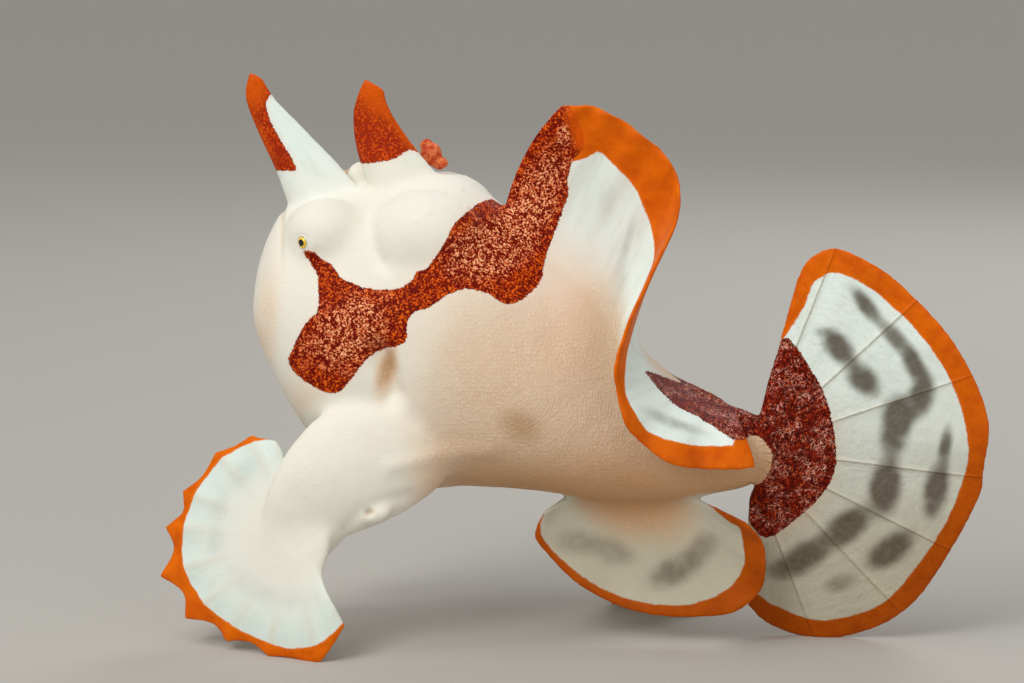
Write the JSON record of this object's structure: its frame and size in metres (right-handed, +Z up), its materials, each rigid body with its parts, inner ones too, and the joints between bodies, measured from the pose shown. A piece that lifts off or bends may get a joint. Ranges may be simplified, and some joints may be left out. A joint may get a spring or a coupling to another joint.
{
  "type": "young clown frogfish, still life-size model",
  "caption": "Stout white frogfish with a red saddle and orange-edged spread fins, standing on its two hand-like fins and the edge of its tail fin.",
  "frame": {"origin": "on the floor, under the middle of the whole fish's box", "axes": "+Z up; the head points to -X and the tail to +X; the fish's left side faces -Y"},
  "size_m": [0.0984, 0.0444, 0.0683],
  "materials": {
    "skin": "moist, matt, fine pebbled skin, white to cream with a red speckled saddle",
    "fin_skin": "thin moist fin skin over rays, bluish white with grey patches and an orange edge",
    "eye": "wet and clear over a gold ring and a black pupil",
    "lure": "soft, matt, pinkish"
  },
  "bodies": {
    "root": {"head": "skin", "lower_jaw": "skin", "trunk": "skin", "arm_left": "skin", "arm_right": "skin", "tail_stalk": "skin", "spine_second": "fin_skin", "spine_third": "fin_skin", "dorsal_fin": "fin_skin", "anal_fin": "fin_skin", "tail_fin": "fin_skin", "pectoral_fan_left": "fin_skin", "pectoral_fan_right": "fin_skin", "pelvic_fin_left": "fin_skin", "pelvic_fin_right": "fin_skin", "eye_left": "eye", "eye_right": "eye", "lure_rod": "lure", "lure": "lure"}
  },
  "joints": []
}
